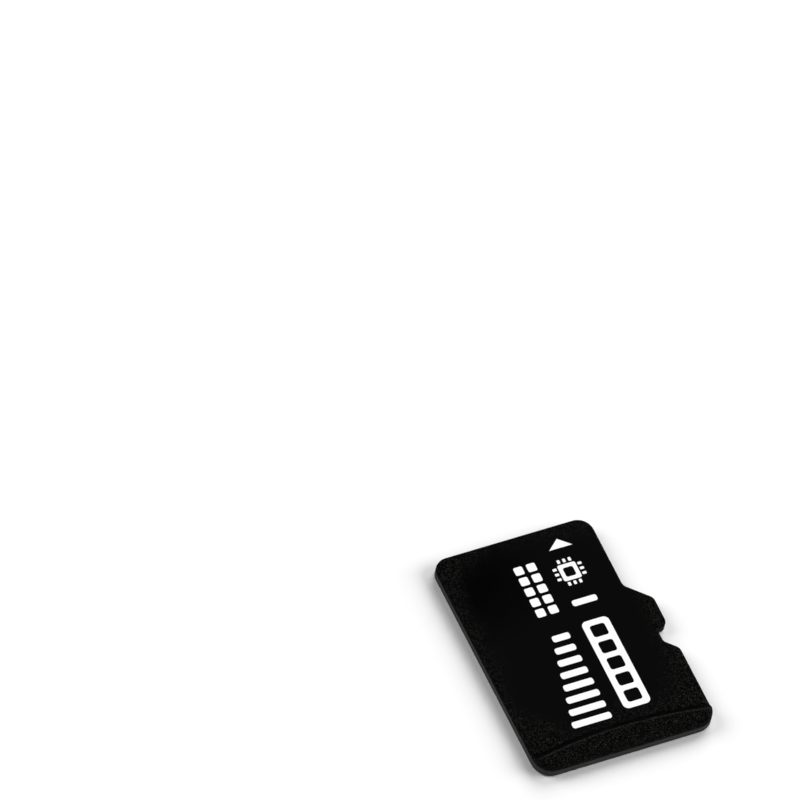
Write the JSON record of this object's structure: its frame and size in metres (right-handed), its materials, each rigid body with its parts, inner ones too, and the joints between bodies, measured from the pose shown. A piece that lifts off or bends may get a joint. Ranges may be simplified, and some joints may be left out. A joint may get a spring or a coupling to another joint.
{
  "type": "microsd card",
  "caption": "Thin moulded flash memory card with a narrow contact end, a side notch for the socket's latch, gold contacts underneath and a curved finger ridge for pulling it out.",
  "frame": {"origin": "middle of the card's outline, on the underside", "axes": "+Z out of the label face, +Y towards the contact end, which enters the socket first, +X towards the notched side"},
  "size_m": [0.011, 0.015, 0.001],
  "materials": {
    "epoxy_compound": "transfer moulded, fine matt grain",
    "laminate": "black solder mask over glass laminate",
    "gold_plate": "hard gold plate, satin",
    "gold_wire": "drawn wire",
    "copper": "etched copper foil",
    "silicon": "ground and polished",
    "die_attach_film": "cured adhesive",
    "tin_plate": "matt tin plate",
    "capacitor_ceramic": "fired, matt",
    "white_ink": "screen printed, matt"
  },
  "bodies": {
    "root": {"board": "laminate", "capacitor_ceramic_1": "capacitor_ceramic", "capacitor_ceramic_2": "capacitor_ceramic", "capacitor_ceramic_3": "capacitor_ceramic", "capacitor_ceramic_4": "capacitor_ceramic", "capacitor_ends_1": "tin_plate", "capacitor_ends_2": "tin_plate", "capacitor_ends_3": "tin_plate", "capacitor_ends_4": "tin_plate", "capacitor_lands_1": "copper", "capacitor_lands_2": "copper", "capacitor_lands_3": "copper", "capacitor_lands_4": "copper", "contact_1": "gold_plate", "contact_2": "gold_plate", "contact_3": "gold_plate", "contact_4": "gold_plate", "contact_5": "gold_plate", "contact_6": "gold_plate", "contact_7": "gold_plate", "contact_8": "gold_plate", "controller_chip": "silicon", "controller_chip_film": "die_attach_film", "controller_front_bond_fingers": "copper", "controller_front_bond_wires": "gold_wire", "controller_rear_bond_fingers": "copper", "controller_rear_bond_wires": "gold_wire", "memory_bond_fingers": "copper", "memory_bond_wires": "gold_wire", "memory_chip": "silicon", "memory_chip_film": "die_attach_film", "mould_body": "epoxy_compound"}
  },
  "joints": []
}
